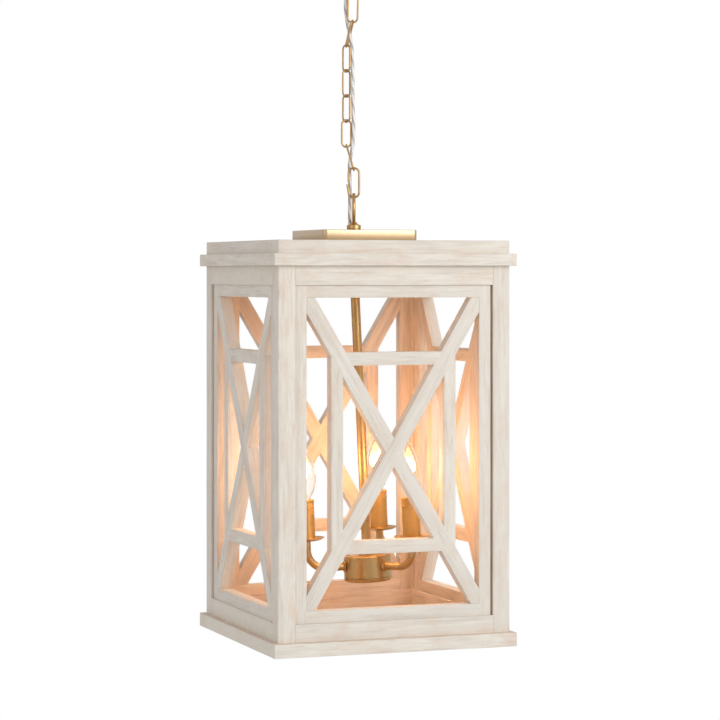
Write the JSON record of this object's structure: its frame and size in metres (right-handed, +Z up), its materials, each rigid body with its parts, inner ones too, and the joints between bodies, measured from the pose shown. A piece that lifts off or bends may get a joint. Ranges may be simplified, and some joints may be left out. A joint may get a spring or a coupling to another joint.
{
  "type": "lattice ceiling lantern",
  "caption": "Square wooden lantern pendant with crossed lattice sides and a brass candle cluster, hung from a ceiling canopy by a link chain and clear lamp cord.",
  "frame": {"origin": "centre of the crossbar's two slots in the plane of the ceiling", "axes": "+Z up, the lantern hangs along -Z; +X along the lantern's front and the crossbar, +Y from its front to its back"},
  "size_m": [0.333, 0.333, 0.9643],
  "materials": {
    "whitewashed_wood": "whitewashed, matt, with open grain",
    "antique_gold": "antique gold, satin",
    "bare_steel": "zinc plated",
    "clear_cord": "clear insulation over bright strands",
    "socket_plastic": "moulded, matt",
    "bulb_metal": "nickelled brass",
    "bulb_glass": "clear, lit warm"
  },
  "bodies": {
    "ceiling_mount": {"ceiling_crossbar": "bare_steel", "ceiling_nipple": "antique_gold", "nipple_nut": "bare_steel", "canopy": "antique_gold", "canopy_ring_nut": "antique_gold", "canopy_loop": "antique_gold"},
    "chain": {"chain_link_8": "antique_gold", "chain_link_7": "antique_gold", "chain_link_6": "antique_gold", "chain_link_5": "antique_gold", "chain_link_4": "antique_gold", "chain_link_3": "antique_gold", "chain_link_2": "antique_gold", "chain_link_1": "antique_gold", "connector_link": "antique_gold", "lamp_cord": "clear_cord"},
    "lantern": {"lantern_loop": "antique_gold", "brass_cap": "antique_gold", "top_nipple": "antique_gold", "swivel_cup": "antique_gold", "lid_board": "whitewashed_wood", "crown_boards": "whitewashed_wood", "cornice_strips": "whitewashed_wood", "top_rails": "whitewashed_wood", "bottom_rails": "whitewashed_wood", "base_board": "whitewashed_wood", "post_front_left": "whitewashed_wood", "post_front_right": "whitewashed_wood", "post_back_left": "whitewashed_wood", "post_back_right": "whitewashed_wood", "panel_frame_front": "whitewashed_wood", "panel_frame_back": "whitewashed_wood", "panel_frame_left": "whitewashed_wood", "panel_frame_right": "whitewashed_wood", "lattice_front": "whitewashed_wood", "lattice_back": "whitewashed_wood", "lattice_left": "whitewashed_wood", "lattice_right": "whitewashed_wood"},
    "cluster": {"stem": "antique_gold", "stem_collar": "antique_gold", "hub_drum": "antique_gold", "hub_cover": "antique_gold", "hub_finial": "antique_gold", "arm_1": "antique_gold", "arm_2": "antique_gold", "arm_3": "antique_gold", "drip_dishes": "antique_gold", "sockets": "socket_plastic", "candle_sleeve_1": "antique_gold", "candle_sleeve_2": "antique_gold", "candle_sleeve_3": "antique_gold"},
    "bulb_1_rise": {"bulb_contact_1": "bulb_metal"},
    "bulb_1": {"bulb_base_1": "bulb_metal", "bulb_glass_1": "bulb_glass"},
    "bulb_2_rise": {"bulb_contact_2": "bulb_metal"},
    "bulb_2": {"bulb_base_2": "bulb_metal", "bulb_glass_2": "bulb_glass"},
    "bulb_3_rise": {"bulb_contact_3": "bulb_metal"},
    "bulb_3": {"bulb_base_3": "bulb_metal", "bulb_glass_3": "bulb_glass"}
  },
  "joints": [
    {"name": "chain_swing", "type": "hinge", "parent": "ceiling_mount", "child": "chain", "pos_m": [0, 0, -0.0732], "axis": [0.9397, -0.342, 0], "range_deg": [-15, 15], "deforming": ["lamp_cord"]},
    {"name": "lantern_rock", "type": "hinge", "parent": "chain", "child": "lantern", "pos_m": [0, 0, -0.3751], "axis": [0.9397, -0.342, 0], "range_deg": [-10, 10], "deforming": ["lamp_cord"]},
    {"name": "cluster_turn", "type": "hinge", "parent": "lantern", "child": "cluster", "pos_m": [0, 0, -0.4683], "axis": [-0.0426, 0.0155, 0.999], "range_deg": [-180, 180]},
    {"name": "bulb_1_rise", "type": "slide", "parent": "cluster", "child": "bulb_1_rise", "axis": [-0.0426, 0.0155, 0.999], "range_m": [0, 0.01016]},
    {"name": "bulb_1_turn", "type": "hinge", "parent": "bulb_1_rise", "child": "bulb_1", "pos_m": [0.05109, -0.07884, -0.78122], "axis": [-0.0426, 0.0155, 0.999], "range_deg": [0, 1440]},
    {"name": "bulb_2_rise", "type": "slide", "parent": "cluster", "child": "bulb_2_rise", "axis": [-0.0426, 0.0155, 0.999], "range_m": [0, 0.01016]},
    {"name": "bulb_2_turn", "type": "hinge", "parent": "bulb_2_rise", "child": "bulb_2", "pos_m": [0.05866, 0.06471, -0.78313], "axis": [-0.0426, 0.0155, 0.999], "range_deg": [0, 1440]},
    {"name": "bulb_3_rise", "type": "slide", "parent": "cluster", "child": "bulb_3_rise", "axis": [-0.0426, 0.0155, 0.999], "range_m": [0, 0.01016]},
    {"name": "bulb_3_turn", "type": "hinge", "parent": "bulb_3_rise", "child": "bulb_3", "pos_m": [-0.06934, -0.00059, -0.78758], "axis": [-0.0426, 0.0155, 0.999], "range_deg": [0, 1440]}
  ],
  "couplings": [
    {"joint": "bulb_1_turn", "follows": "bulb_1_rise", "rad_per_m": 2473.7},
    {"joint": "bulb_2_turn", "follows": "bulb_2_rise", "rad_per_m": 2473.7},
    {"joint": "bulb_3_turn", "follows": "bulb_3_rise", "rad_per_m": 2473.7}
  ]
}
